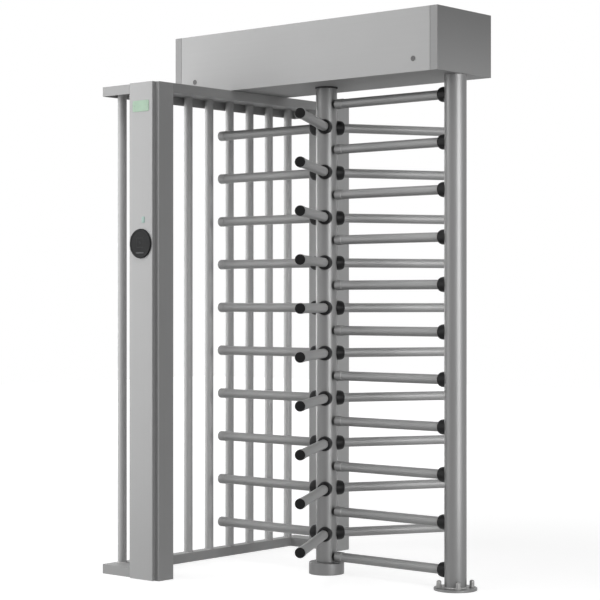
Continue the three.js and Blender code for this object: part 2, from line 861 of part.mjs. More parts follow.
function solenoid(turn) {
  const high = plateTop + solenoidHeight;
  const end = solenoidStart + solenoidLength;
  const frame = block(
    solenoidStart, tailPinY - solenoidWidth / 2, plateTop, end, tailPinY + solenoidWidth / 2, high,
  );
  const window = block(
    solenoidStart + sheet, tailPinY - solenoidWidth / 2 - cutOverrun, plateTop + sheet,
    end - sheet, tailPinY + solenoidWidth / 2 + cutOverrun, high - sheet,
  );
  const coilRadius = solenoidWidth / 2 - fitGap;
  const coil = alongX(rod(coilRadius, solenoidStart, end - sheet / 2, columnSides));
  const drilled = alongX(bore(
    plungerRadius + fitGap, solenoidStart - cutOverrun, end - plungerStroke + fitGap, tubeSides,
  ));
  const body = frame.subtract(window).add(coil.translate([0, tailPinY, plungerZ]));
  return body.subtract(drilled.translate([0, tailPinY, plungerZ])).rotate([0, 0, turn]);
}

// Self-centring lever: its roller bears on the cam and pulls the wings home.
const rollerY = camMeanRadius + camSwing + rollerClear + rollerRadius;
const leverLow = plateTop + fitGap;
const leverHigh = leverLow + leverThickness;

function centringLever() {
  const reach = Math.hypot(leverPivotX, rollerY - leverPivotY);
  const turn = Math.atan2(rollerY - leverPivotY, -leverPivotX) * (180 / Math.PI);
  const half = leverWidth / 2;
  const bar = raised(roundedRectangle(-half, -half, reach + half, half, half - fitGap), leverLow, leverHigh)
    .rotate([0, 0, turn]).translate([leverPivotX, leverPivotY, 0]);
  const post = rod(leverPinRadius, plateLow, leverHigh + springHeight, tubeSides)
    .translate([leverPivotX, leverPivotY, 0]);
  const axle = rod(rollerPinRadius, leverLow, camLow + camThickness, tubeSides).translate([0, rollerY, 0]);
  return bar.add(post).add(axle);
}

function centringRoller() {
  const low = leverHigh + fitGap;
  return ring(rollerRadius, rollerPinRadius + fitGap, low, camLow + camThickness - fitGap, columnSides)
    .translate([0, rollerY, 0]);
}

// One unbroken coil of wire round the lever's post.
class CoilPath extends THREE.Curve {
  getPoint(share, target = new THREE.Vector3()) {
    const turn = share * springTurns * 2 * Math.PI;
    return target.set(
      leverPivotX + springRadius * Math.cos(turn),
      leverPivotY + springRadius * Math.sin(turn),
      leverHigh + fitGap + springWire + share * springTurns * springPitch,
    );
  }
}

function centringSpring() {
  const corners = Array.from({ length: wireSides }, (_, k) => {
    const turn = (k * 2 * Math.PI) / wireSides;
    return [springWire * Math.cos(turn), springWire * Math.sin(turn)];
  });
  const options = { steps: springTurns * wireSteps, bevelEnabled: false, extrudePath: new CoilPath() };
  return solid(new THREE.ExtrudeGeometry(polygon(corners), options));
}

// Electronics on the head's floor.
function controlUnit() {
  const half = controlLength / 2;
  const side = controlDepth / 2;
  const box = raised(
    roundedRectangle(controlX - half, -side, controlX + half, side, controlCorner),
    floorTop, floorTop + controlHeight,
  );
  const seam = raised(
    roundedRectangle(controlX - half, -side, controlX + half, side, controlCorner),
    floorTop + controlHeight * lidShare, floorTop + controlHeight * lidShare + seamWidth,
  ).subtract(raised(
    roundedRectangle(controlX - half + seamWidth, -side + seamWidth, controlX + half - seamWidth,
      side - seamWidth, controlCorner),
    floorTop, floorTop + controlHeight,
  ));
  return box.subtract(seam);
}

function powerSupply() {
  const half = supplyLength / 2;
  const side = supplyDepth / 2;
  const high = floorTop + supplyHeight;
  let supply = block(supplyX - half, -side, floorTop, supplyX + half, side, high);
  const pitch = (supplyLength - finThickness) / (supplyFins - 1);
  for (let k = 0; k < supplyFins; k += 1) {
    const left = supplyX - half + k * pitch;
    supply = supply.add(block(left, -side, high - finThickness, left + finThickness, side, high + finHeight));
  }
  return supply;
}

addPiece('barrier_post', barrierPost(), 'satinSteel');
addPiece('barrier_flange', barrierFlange(), 'satinSteel');
boltPlaces.forEach(([x, y], k) => {
  addPiece(`anchor_bolt_${k + 1}`, anchorBolt(), 'zincSteel').position.set(x, y, 0);
});
for (let row = 0; row < combRows; row += 1) {
  const arm = addPiece(numbered('barrier_arm', row), barrierArm(), 'satinSteel');
  arm.position.z = lowestCombRow + row * rowPitch;
}

addPiece('front_cabinet_housing', cabinetHousing(), 'paintedPanel');
addPiece('front_cabinet_cover', cabinetCover().subtract(readerHole()).subtract(lensHole()), 'paintedPanel');
addPiece('rear_cabinet_housing', cabinetHousing().mirror([0, 1, 0]), 'shadePanel');
addPiece('rear_cabinet_cover', cabinetCover().mirror([0, 1, 0]), 'shadePanel');
addPiece('card_reader', cardReader(), 'blackPlastic');
addPiece('status_lens', statusLens(), 'greenLens');
addPiece('guard_top_tray', guardTopTray(), 'paintedPanel');
addPiece('guard_grille', guardGrille(), 'satinSteel');

addPiece('head_chassis', headChassis(), 'paintedPanel');
addPiece('head_lid', headLid(), 'paintedPanel');
addPiece('head_front_cover', headFrontCover(), 'paintedPanel');
addPiece('cover_lock_left', coverLock(-1), 'zincSteel');
addPiece('cover_lock_right', coverLock(1), 'zincSteel');
addPiece('top_bearing', topBearing(), 'zincSteel');
addPiece('mechanism_plate', mechanismPlate(), 'zincSteel');
addPiece('column_seal', columnSeal(), 'blackPlastic');
addPiece('control_unit', controlUnit(), 'blackPlastic');
addPiece('power_supply', powerSupply(), 'zincSteel');

addPiece('floor_pivot_base', floorPivotBase(), 'satinSteel');
addPiece('rotor_column', rotorColumn(), 'satinSteel');
for (let row = 0; row < rotorRows; row += 1) {
  addPiece(numbered('rotor_tier', row), rotorTier(), 'satinSteel').position.z = rowHeight(row);
}
addPiece('rotor_shaft', rotorShaft(), 'zincSteel');
addPiece('centring_cam', centringCam(), 'zincSteel');
addPiece('locking_disc', lockingDisc(), 'zincSteel');
addPiece('shaft_nut', shaftNut(), 'zincSteel');

bothPawls.forEach((turn, k) => {
  addPiece(`lock_pawl_${k + 1}`, lockPawl(turn), 'zincSteel');
  addPiece(`lock_plunger_${k + 1}`, plunger(turn), 'satinSteel');
  addPiece(`lock_solenoid_${k + 1}`, solenoid(turn), 'coilBlue');
});
addPiece('centring_lever', centringLever(), 'zincSteel');
addPiece('centring_roller', centringRoller(), 'blackPlastic');
addPiece('centring_spring', centringSpring(), 'satinSteel');

export default turnstile;
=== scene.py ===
# %% [markdown]
# # Full height turnstile
# A full height turnstile is a cage gate: a rotor of round arms turns under a locked overhead
# housing, between a comb of fixed arms and a guard of upright tubes. The solid model is fixed.
# This script dresses it: it rounds the tubes, softens the folded sheet and gives every piece its
# finish. Everything is in metres, +Z up, with the origin on the rotor's axis at the floor.

# %% Load the frame
import json
import math

import bmesh
import bpy
from mathutils import Matrix, Vector


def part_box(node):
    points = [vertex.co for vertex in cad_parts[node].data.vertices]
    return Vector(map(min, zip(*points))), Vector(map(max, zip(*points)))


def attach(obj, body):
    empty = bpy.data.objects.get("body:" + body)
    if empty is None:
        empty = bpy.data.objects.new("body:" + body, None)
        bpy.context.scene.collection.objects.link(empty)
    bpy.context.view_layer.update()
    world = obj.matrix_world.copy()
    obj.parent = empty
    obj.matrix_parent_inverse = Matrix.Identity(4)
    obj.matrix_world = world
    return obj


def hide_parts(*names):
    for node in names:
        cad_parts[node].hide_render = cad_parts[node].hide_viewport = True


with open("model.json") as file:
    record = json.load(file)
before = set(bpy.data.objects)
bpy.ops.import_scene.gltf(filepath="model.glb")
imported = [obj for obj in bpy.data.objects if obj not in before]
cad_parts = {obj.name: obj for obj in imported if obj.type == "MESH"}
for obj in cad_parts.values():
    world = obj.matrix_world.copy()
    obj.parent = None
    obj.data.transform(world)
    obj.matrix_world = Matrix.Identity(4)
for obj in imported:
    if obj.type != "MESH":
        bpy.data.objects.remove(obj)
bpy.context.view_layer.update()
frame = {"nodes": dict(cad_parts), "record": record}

# %% [markdown]
# Sizes come from the solids themselves: a round piece's radius is half its box, and a row's place
# is the middle of its box. So the dressed pieces follow the frame if it changes.

# %% Measure the frame
MM = 0.001


def middle(node):
    low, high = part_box(node)
    return (low + high) / 2


def half_size(node):
    low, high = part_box(node)
    return (high - low) / 2


def rows_of(stem):
    return sorted(name for name in frame["nodes"] if name.startswith(stem))


tiers = rows_of("rotor_tier_")
comb = rows_of("barrier_arm_")
column_radius = half_size("rotor_column").x
post_radius = half_size("barrier_post").x
post_x = middle("barrier_post").x
tier_z = [middle(name).z for name in tiers]
comb_z = [middle(name).z for name in comb]
row_pitch = tier_z[1] - tier_z[0]
print(f"{len(tiers)} rotor rows and {len(comb)} comb rows, {row_pitch / MM:.0f} mm apart")

# %% [markdown]
# The camera stands where the photographer stood: level, at chest height, with a long lens. A long
# lens keeps the uprights parallel and the head's long edges only gently converging.

# %% Camera
CAMERA_PLACE = (4.8266, -5.8058, 1.1529)
CAMERA_TURN = 40.588
FOCAL_PIXELS = 1788.35
PHOTO_PIXELS = 600
SENSOR_WIDTH = 36


def link(name, data):
    """A new object in the scene, at the origin."""
    made = bpy.data.objects.new(name, data)
    bpy.context.scene.collection.objects.link(made)
    return made


camera = link("photo_camera", bpy.data.cameras.new("photo_camera"))
camera.data.sensor_width = SENSOR_WIDTH
camera.data.lens = FOCAL_PIXELS / PHOTO_PIXELS * SENSOR_WIDTH
camera.location = CAMERA_PLACE
camera.rotation_euler = (math.radians(90), 0, math.radians(CAMERA_TURN))
bpy.context.scene.camera = camera
print(f"lens {camera.data.lens:.1f} mm")

# %% [markdown]
# A surface is a recipe: numbers that vary from place to place, mixed into colour, gloss and
# relief. Written as sums they read like arithmetic, so one small class turns a node's output
# into something that can be added and multiplied, and one method makes every other node.

# %% Node arithmetic


class Reading:
    """A number, colour or vector that a node gives, ready for sums."""

    def __init__(self, nodes, socket):
        self.nodes = nodes
        self.socket = socket

    def other(self, output):
        """Another output of the same node."""
        return Reading(self.nodes, self.socket.node.outputs[output])

    def sum(self, operation, first, second):
        return self.nodes.node("ShaderNodeMath", {"operation": operation}, {0: first, 1: second})

    def larger(self, other):
        return self.sum("MAXIMUM", self, other)

    def __add__(self, other):
        return self.sum("ADD", self, other)

    def __sub__(self, other):
        return self.sum("SUBTRACT", self, other)

    def __rsub__(self, other):
        return self.sum("SUBTRACT", other, self)

    def __mul__(self, other):
        return self.sum("MULTIPLY", self, other)

    def __truediv__(self, other):
        return self.sum("DIVIDE", self, other)

    def __rtruediv__(self, other):
        return self.sum("DIVIDE", other, self)

    __radd__ = __add__
    __rmul__ = __mul__


class Nodes:
    """A node tree being made."""

    def __init__(self, tree):
        self.tree = tree

    def feed(self, socket, value):
        if isinstance(value, Reading):
            self.tree.links.new(value.socket, socket)
        else:
            socket.default_value = value

    def node(self, kind, settings=None, inputs=None, output=0):
        made = self.tree.nodes.new(kind)
        for key, value in (settings or {}).items():
            setattr(made, key, value)
        for key, value in (inputs or {}).items():
            self.feed(made.inputs[key], value)
        return Reading(self, made.outputs[output]) if len(made.outputs) else None


class Finish(Nodes):
    """A material being made: its nodes, and the shader that they feed."""

    def __init__(self, name):
        self.material = bpy.data.materials.new(name)
        self.material.use_nodes = True
        super().__init__(self.material.node_tree)
        self.shader = self.tree.nodes["Principled BSDF"]

    def set(self, **sockets):
        for key, value in sockets.items():
            self.feed(self.shader.inputs[key.replace("_", " ")], value)

    def place(self, stretch=(1, 1, 1)):
        here = self.node("ShaderNodeTexCoord", output="Object")
        return self.node("ShaderNodeMapping", None, {"Vector": here, "Scale": stretch})

    def noise(self, where, scale=1.0, detail=3.0):
        sizes = {"Vector": where, "Scale": scale, "Detail": detail}
        return self.node("ShaderNodeTexNoise", None, sizes)

    def blend(self, share, first, second):
        colours = {0: share, 6: first, 7: second}
        return self.node("ShaderNodeMix", {"data_type": "RGBA"}, colours, output=2)

    def relief(self, height, strength, distance):
        sizes = {"Height": height, "Strength": strength, "Distance": distance}
        return self.node("ShaderNodeBump", None, sizes)


def grey(level, warm=0.0):
    return (level * (1 + warm), level, level * (1 - warm), 1)


print("node maker ready")

# %% [markdown]
# Steel has hardly a colour of its own: it shows what stands around it. A white tent alone would
# make it flat, so broad lamps stand to the front left and overhead. A weak strip on the right and
# a weak lamp on the left draw the bright lines of the round tubes. The ambient light is kept far
# lower than the white that the camera sees behind the object.

# %% Studio
BACKGROUND = 1.0
AMBIENT = 0.1
WHITE = (1, 1, 1, 1)
COOL_WHITE = (0.97, 0.985, 1, 1)


def seen_rays(nodes):
    """1 for rays from the camera, and for those that a mirror or glass passes on; else 0."""
    path = nodes.node("ShaderNodeLightPath", output="Is Camera Ray")
    return path.larger(path.other("Is Glossy Ray")).larger(path.other("Is Transmission Ray"))


def make_world():
    world = bpy.data.worlds.new("white_tent")
    world.use_nodes = True
    world.node_tree.nodes.clear()
    nodes = Nodes(world.node_tree)
    glow = [
        nodes.node("ShaderNodeBackground", None, {"Color": colour, "Strength": strength})
        for colour, strength in ((COOL_WHITE, AMBIENT), (WHITE, BACKGROUND))
    ]
    mixed = nodes.node("ShaderNodeMixShader", None, {0: seen_rays(nodes), 1: glow[0], 2: glow[1]})
    nodes.node("ShaderNodeOutputWorld", None, {"Surface": mixed})
    bpy.context.scene.world = world


def make_lamp(name, place, target, size, power, spread=180):
    lamp = link(name, bpy.data.lights.new(name, "AREA"))
    lamp.data.shape = "RECTANGLE"
    lamp.data.size, lamp.data.size_y = size
    lamp.data.energy = power
    lamp.data.spread = math.radians(spread)
    lamp.location = place
    lamp.rotation_mode = "QUATERNION"
    lamp.rotation_quaternion = (Vector(target) - Vector(place)).to_track_quat("-Z", "Y")
    lamp.visible_camera = False


make_world()
make_lamp("key", (-2.4, -2.5, 1.6), (-0.2, 0, 1.05), (2.0, 3.5), 62)
make_lamp("top", (-0.1, -1.7, 4.6), (0, 0, 1.4), (2.6, 1.6), 62)
make_lamp("strip", (1.95, -0.3, 1.25), (0, 0.35, 0.9), (1.0, 2.1), 5.2, spread=50)
make_lamp("rim", (-2.7, 0.5, 1.3), (0, 0, 1.1), (1.4, 2.2), 8, spread=70)
bpy.context.scene.view_settings.view_transform = "Standard"
print("studio lit")

# %% [markdown]
# The floor is a plain pale sheet. It glows a little where the camera or a mirror sees it, less
# near the object, so that the soft shadow stays, and up to white far away, so that no horizon
# shows.

# %% Floor
FLOOR_HALF = 14
FLOOR_LEVEL = 0.36
FLOOR_GLOSS = 0.9
NEAR_GLOW = 0.8
NEAR_ENDS_AT = 1
FULL_WHITE_AT = 5.5


def floor_glow(finish):
    """The share of white that the floor shows by itself: seen rays only, rising with distance."""
    here = finish.node("ShaderNodeTexCoord", output="Object")
    reach = finish.node("ShaderNodeVectorMath", {"operation": "LENGTH"}, {0: here}, "Value")
    rise = finish.node("ShaderNodeMapRange", None, {
        "Value": reach, "From Min": NEAR_ENDS_AT, "From Max": FULL_WHITE_AT, "To Min": NEAR_GLOW,
    })
    return rise * seen_rays(finish)


def make_floor():
    shape = bmesh.new()
    bmesh.ops.create_grid(shape, x_segments=2, y_segments=2, size=FLOOR_HALF)
    mesh = bpy.data.meshes.new("studio_floor")
    shape.to_mesh(mesh)
    shape.free()
    finish = Finish("pale_floor")
    finish.set(
        Base_Color=grey(FLOOR_LEVEL), Roughness=FLOOR_GLOSS,
        Emission_Strength=1, Emission_Color=floor_glow(finish),
    )
    mesh.materials.append(finish.material)
    link("studio_floor", mesh)


make_floor()
print("floor laid")

# %% [markdown]
# Stainless sheet is brushed in one direction at the mill. The scratches are far longer than they
# are wide, so the pattern is a noise squeezed hard across the grain. It moves the gloss and the
# relief a little, and the colour hardly at all. Large, faint clouds keep a long panel alive.

# %% Brushed steel
GRAIN_ACROSS = 700
STREAK_ACROSS = 90
GRAIN_ALONG = 5
CLOUD_SCALE = 2.2
SHEET_LEVEL = 0.42


def brushed_steel(name, along, level, metal=0.3, gloss=0.6):
    """Steel with its lines along the named axes; level is how light it is, gloss its roughness."""
    finish = Finish(name)
    fine = [GRAIN_ALONG if axis in along else GRAIN_ACROSS for axis in "xyz"]
    broad = [GRAIN_ALONG / 4 if axis in along else STREAK_ACROSS for axis in "xyz"]
    grain = finish.noise(finish.place(fine), detail=2)
    streak = finish.noise(finish.place(broad))
    cloud = finish.noise(finish.place(), scale=CLOUD_SCALE, detail=4)
    shade = grain * 0.25 + streak * 0.3 + cloud * 0.45
    finish.set(
        Base_Color=finish.blend(shade, grey(level * 0.86), grey(level * 1.12)),
        Metallic=metal,
        Roughness=streak * 0.12 + grain * 0.1 + (gloss - 0.11),
        Normal=finish.relief(grain + streak * 0.5, strength=0.12, distance=0.4 * MM),
    )
    return finish.material


sheet_across = brushed_steel("brushed_sheet_lengthwise", "x", SHEET_LEVEL)
sheet_upright = brushed_steel("brushed_sheet_upright", "z", SHEET_LEVEL)
# The chassis is the same steel as the lid and cover, made darker to paint the shade on the head's
# underside and ends.
chassis_steel_painted_shade = brushed_steel("brushed_chassis", "x", 0.31)
tray_steel = brushed_steel("brushed_tray", "y", 0.36)
tube_upright = brushed_steel("satin_tube_upright", "z", 0.215, metal=0.65, gloss=0.43)
guard_steel = brushed_steel("satin_guard_tube", "z", 0.44, metal=0.45, gloss=0.6)
print("brushed steel made")

# %% [markdown]
# Arms lie level and point several ways, so their polishing lines are held level: the noise is
# squeezed up and down only. Ferrules are turned from the same steel. Small fittings are zinc
# plated, which is greyer, with a mottled gloss.

# %% Tube, ferrule and plated steel
tube_level = brushed_steel("satin_tube_level", "xy", 0.34, metal=0.3, gloss=0.5)
ferrule_steel = brushed_steel("turned_ferrule", "xy", 0.33, metal=0.3, gloss=0.5)


def plated(name, level, gloss=0.36):
    finish = Finish(name)
    mottle = finish.noise(finish.place(), scale=160)
    cloud = finish.noise(finish.place(), scale=14)
    shade = mottle * 0.4 + cloud * 0.6
    finish.set(
        Base_Color=finish.blend(shade, grey(level * 0.8, 0.01), grey(level * 1.15, 0.01)),
        Metallic=0.4,
        Roughness=mottle * 0.25 + (gloss - 0.12),
        Normal=finish.relief(mottle, strength=0.15, distance=0.2 * MM),
    )
    return finish.material


zinc = plated("zinc_plated", 0.42)
forged = plated("plated_bolt", 0.36, gloss=0.42)
dark_nickel = plated("dark_nickel_lock", 0.12, gloss=0.5)
print("level tube, ferrule and plated steel made")

# %% [markdown]
# The collars, end plugs and the reader are black moulded plastic. A mould leaves a fine matt
# grain, so the relief is a dense noise and the gloss drifts slowly across the part. The lens, the
# windows and the coils' wrapping are made the same way, in their own colours.

# %% Plastic, lens and coil


def moulded(name, colour, gloss=0.45, grain=0.25, scale=900, mirror=0.5):
    """Plastic with a fine grain of that strength and scale; mirror is its specular level."""
    finish = Finish(name)
    fine = finish.noise(finish.place(), scale=scale, detail=2)
    cloud = finish.noise(finish.place(), scale=18)
    dark, light = (tuple(part * share for part in colour) + (1,) for share in (0.8, 1.25))
    finish.set(
        Base_Color=finish.blend(cloud, dark, light),
        Roughness=cloud * 0.14 + fine * 0.08 + (gloss - 0.11),
        Specular_IOR_Level=mirror,
        Normal=finish.relief(fine, strength=grain, distance=0.2 * MM),
    )
    return finish.material


black_collar = moulded("black_collar", (0.007, 0.007, 0.0075), gloss=0.42, mirror=0.18)
black_reader = moulded("black_reader", (0.0075, 0.008, 0.0085), gloss=0.6, grain=0.4, mirror=0.2)
black_case = moulded("black_case", (0.03, 0.03, 0.033), gloss=0.5, grain=0.5, scale=500)
# the seal's black is partly its own and partly painted shade of the gap at the column's top
black_seal = moulded("black_seal", (0.02, 0.02, 0.02), gloss=0.7)
print_grey = moulded("printed_grey", (0.045, 0.047, 0.048), gloss=0.6, mirror=0.2)
indicator = moulded("indicator_window", (0.09, 0.093, 0.095), gloss=0.4, mirror=0.25)
pale_green = moulded("pale_green_lens", (0.36, 0.54, 0.39), gloss=0.3, grain=0.1, scale=250)
pale_cyan = moulded("pale_cyan_window", (0.34, 0.5, 0.45), gloss=0.35, grain=0.1, scale=250)
coil_blue = moulded("wrapped_coil", (0.02, 0.045, 0.1), gloss=0.5, grain=0.5, scale=300)
print("plastics made")

# %% [markdown]
# Two ways of making a piece. Sheet and machined pieces take a copy of their solid, welded and
# with its sharp edges rounded by a fraction of a millimetre, since that edge is what catches the
# light. Round pieces are turned again from a profile with enough steps to look round.

# %% Making pieces
BODY_OF = {
    node: body
    for body, nodes in frame["record"]["behaviour"]["bodies"].items()
    for node in nodes
}
SMOOTH_ANGLE = math.radians(32)
ROUNDED_ANGLE = math.radians(28)
FLAT_ANGLE = math.radians(0.5)
WELD_DISTANCE = 0.01 * MM


def finish_piece(name, mesh, body, *nodes, slot=None, smooth=True):
    """Makes an object of the mesh, on its body and in the place of its solids; its slot is not
    used.
    """
    if smooth:
        mesh.shade_smooth()
        mesh.set_sharp_from_angle(angle=SMOOTH_ANGLE)
    piece = link(name, mesh)
    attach(piece, body)
    if nodes:
        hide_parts(*nodes)
    return piece


def mesh_of(shape, name, *materials):
    """Turns a finished shape into a mesh, its faces pointing outwards."""
    bmesh.ops.recalc_face_normals(shape, faces=shape.faces)
    mesh = bpy.data.meshes.new(name)
    shape.to_mesh(mesh)
    shape.free()
    for material in materials:
        mesh.materials.append(material)
    return mesh


def plain_mesh(holder, name):
    """The mesh that an object's modifiers give. The object itself goes."""
    bpy.context.view_layer.update()
    ready = holder.evaluated_get(bpy.context.evaluated_depsgraph_get())
    mesh = bpy.data.meshes.new_from_object(ready)
    mesh.name = name
    bpy.data.objects.remove(holder)
    return mesh


def soften(node, width, material, segments=2):
    """Dresses a solid with a copy of itself, its edges rounded by a width in millimetres."""
    shape = bmesh.new()
    shape.from_mesh(frame["nodes"][node].data)
    bmesh.ops.remove_doubles(shape, verts=shape.verts, dist=WELD_DISTANCE)
    bmesh.ops.dissolve_limit(
        shape, angle_limit=FLAT_ANGLE, verts=shape.verts, edges=shape.edges,
    )
    mesh = mesh_of(shape, node + "_copy")
    mesh.shade_smooth()
    holder = link(node + "_copy", mesh)
    rounding = holder.modifiers.new("edge_round", "BEVEL")
    rounding.width = width * MM
    rounding.segments = segments
    rounding.limit_method = "ANGLE"
    rounding.angle_limit = ROUNDED_ANGLE
    evening = holder.modifiers.new("even_shading", "WEIGHTED_NORMAL")
    evening.mode = "FACE_AREA"
    evening.weight = 100
    name = node + "_finished"
    rounded = plain_mesh(holder, name)
    rounded.materials.clear()
    rounded.materials.append(material)
    return finish_piece(name, rounded, BODY_OF[node], node, smooth=width == 0)


def lathe(shape, profile, sides, axis="z", centre=(0, 0, 0), closed=False):
    """Turns (radius, height) points in metres round an axis and adds them to shape."""
    turn_to = {
        "z": Matrix.Identity(3),
        "x": Matrix(((0, 0, 1), (1, 0, 0), (0, 1, 0))),
        "-y": Matrix(((1, 0, 0), (0, 0, -1), (0, 1, 0))),
    }[axis]
    rings = []
    for radius, height in profile:
        ring = []
        for k in range(sides if radius > 0 else 1):
            turn = 2 * math.pi * k / sides
            spot = Vector((radius * math.cos(turn), radius * math.sin(turn), height))
            ring.append(shape.verts.new(turn_to @ spot + Vector(centre)))
        rings.append(ring)
    pairs = list(zip(rings, rings[1:]))
    if closed:
        pairs.append((rings[-1], rings[0]))
    for first, second in pairs:
        for k in range(sides):
            after = (k + 1) % sides
            corners = [first[k % len(first)], first[after % len(first)]]
            corners += [second[after % len(second)], second[k % len(second)]]
            corners = list(dict.fromkeys(corners))
            if len(corners) > 2:
                shape.faces.new(corners)


def bridge(shape, first, second):
    """Closes the band between two rings of the same number of points."""
    for k in range(len(first)):
        after = (k + 1) % len(first)
        shape.faces.new((first[k], first[after], second[after], second[k]))


def steps_from(radius, height, steps):
    """Profile points given as small steps, in millimetres, from a radius and a height."""
    return [(radius + out * MM, height + up * MM) for out, up in steps]


def arc(centre, radius, start, end, steps):
    """Points of a rounded corner in a profile, from one angle in degrees to another."""
    points = []
    for k in range(steps + 1):
        turn = math.radians(start + (end - start) * k / steps)
        points.append((centre[0] + radius * math.cos(turn), centre[1] + radius * math.sin(turn)))
    return points


# %% [markdown]
# ## Repeated arms
# The rotor has ten rows of three arms and the barrier eleven rows of one. They are all the same
# part, so one arm is drawn and a small node tree copies it: first round the axis, one for each
# wing, and then up the column, one wing set for each row. The sizes are named inputs of the tree.

# %% A node tree that copies a part into wings and rows


class CopyTree(Nodes):
    """A tree that puts copies of a part on points and gives them all one material."""

    def __init__(self, name, **sizes):
        super().__init__(bpy.data.node_groups.new(name, "GeometryNodeTree"))
        for key, kind in {"Part": "Geometry", **sizes, "Material": "Material"}.items():
            self.socket(key.replace("_", " "), "INPUT", kind)
        self.socket("Copies", "OUTPUT", "Geometry")
        self.given = self.node("NodeGroupInput")

    def socket(self, name, side, kind):
        self.tree.interface.new_socket(
            name=name, in_out=side, socket_type="NodeSocket" + kind,
        )

    def size(self, name):
        return self.given.other(name)

    def along_z(self, value):
        return self.node("ShaderNodeCombineXYZ", None, {"Z": value})

    def points(self, count, start=(0, 0, 0), step=(0, 0, 0)):
        return self.node("GeometryNodeMeshLine", {"mode": "OFFSET"}, {
            "Count": count, "Start Location": start, "Offset": step,
        })

    def copies(self, points, part, turn=(0, 0, 0)):
        return self.node("GeometryNodeInstanceOnPoints", None, {
            "Points": points, "Instance": part, "Rotation": turn,
        })

    def close(self, copies):
        real = self.node("GeometryNodeRealizeInstances", None, {0: copies})
        painted = self.node("GeometryNodeSetMaterial", None, {
            "Geometry": real, "Material": self.size("Material"),
        })
        self.node("NodeGroupOutput", None, {0: painted})
        return self.tree


def arm_tree():
    tree = CopyTree(
        "wings_and_rows", Rows="Int", Lowest_Row="Float", Row_Pitch="Float", Wings="Int",
    )
    turn = tree.node("GeometryNodeInputIndex") / tree.size("Wings") * (2 * math.pi)
    wings = tree.copies(tree.points(tree.size("Wings")), tree.size("Part"), tree.along_z(turn))
    row_points = tree.points(
        tree.size("Rows"), tree.along_z(tree.size("Lowest Row")),
        tree.along_z(tree.size("Row Pitch")),
    )
    return tree.close(tree.copies(row_points, wings))


def run_tree(tree, name, part, **sizes):
    """Copies the part with the tree and returns one plain mesh."""
    holder = link(name, part)
    copier = holder.modifiers.new("copies", "NODES")
    copier.node_group = tree
    sockets = {
        item.name: item.identifier
        for item in tree.interface.items_tree
        if item.item_type == "SOCKET" and item.in_out == "INPUT"
    }
    for key, value in sizes.items():
        copier[sockets[key.replace("_", " ")]] = value
    return plain_mesh(holder, name + "_finished")


wings_and_rows = arm_tree()
print("tree with", len(wings_and_rows.nodes), "nodes")

# %% [markdown]
# An arm is a 39 mm tube. Where it meets the column a black domed collar hides the weld, and at
# its tip a turned ferrule holds a black plug. Each material is a piece of its own, as on the
# real arm, and the four profiles below share the arm's axis.

# %% Arm profiles
TUBE_RADIUS = 0.0195
COLLAR_RADIUS = half_size(comb[0]).z
COLLAR_NECK = 0.024
COLLAR_LENGTH = 0.029
COLLAR_STRAIGHT = 0.009
COLLAR_LIP = 0.001
COLLAR_FOOT = ((-1, 0), (0, 1))
NECK_STEP = 0.0015
DOME_STEPS = 8
FERRULE_RADIUS = 0.0215
FERRULE_LENGTH = 0.036
FERRULE_MOUTH = ((-2, 0), (-0.6, 1.2), (0, 2))
FERRULE_RIM = ((0, -1.8), (-0.4, -0.6), (-1.4, 0))
TUBE_IN_FERRULE = 0.004
PLUG_LENGTH = 0.003
PLUG_RADIUS = 0.0207
PLUG_DEPTH = 0.002
PLUG_FACE = ((0, 0.6), (-1.2, 1.8), (-5.2, 2.4))
ARM_SIDES = 28
SADDLE_SHARE = 0.72


def arm_profiles(seat, tip):
    """Profiles of the tube, collar, ferrule and plug; seat is the carrying tube's radius."""
    sunk = seat * SADDLE_SHARE
    end = tip - PLUG_LENGTH
    start = end - FERRULE_LENGTH
    tube_end = start + TUBE_IN_FERRULE
    tube = [(0, sunk), (TUBE_RADIUS, sunk), (TUBE_RADIUS, tube_end), (0, tube_end)]
    neck = COLLAR_NECK + NECK_STEP
    rise = COLLAR_LENGTH - COLLAR_STRAIGHT - COLLAR_LIP
    collar = [(0, sunk), *steps_from(COLLAR_RADIUS, sunk, COLLAR_FOOT)]
    for k in range(DOME_STEPS + 1):
        turn = math.radians(90 * k / DOME_STEPS)
        collar.append((
            neck + (COLLAR_RADIUS - neck) * math.cos(turn),
            seat + COLLAR_STRAIGHT + rise * math.sin(turn),
        ))
    collar += [(COLLAR_NECK, seat + COLLAR_LENGTH), (0, seat + COLLAR_LENGTH)]
    ferrule = [
        (0, start), *steps_from(FERRULE_RADIUS, start, FERRULE_MOUTH),
        *steps_from(FERRULE_RADIUS, end, FERRULE_RIM), (0, end),
    ]
    plug = [
        (0, end - PLUG_DEPTH), (PLUG_RADIUS, end - PLUG_DEPTH),
        *steps_from(PLUG_RADIUS, end, PLUG_FACE), (0, tip),
    ]
    return {"tubes": tube, "collars": collar, "ferrules": ferrule, "plugs": plug}


print("arm tube", round(TUBE_RADIUS / MM * 2), "mm across")

# %% [markdown]
# The rotor's arms turn with it. Seen from the lane they make three ladders, a third of a turn
# apart, and one ladder always meshes with the comb.

# %% Rotor arms
ARM_FINISH = {
    "tubes": (tube_level, "satin_steel"), "collars": (black_collar, "black_plastic"),
    "ferrules": (ferrule_steel, "satin_steel"), "plugs": (black_collar, "black_plastic"),
}


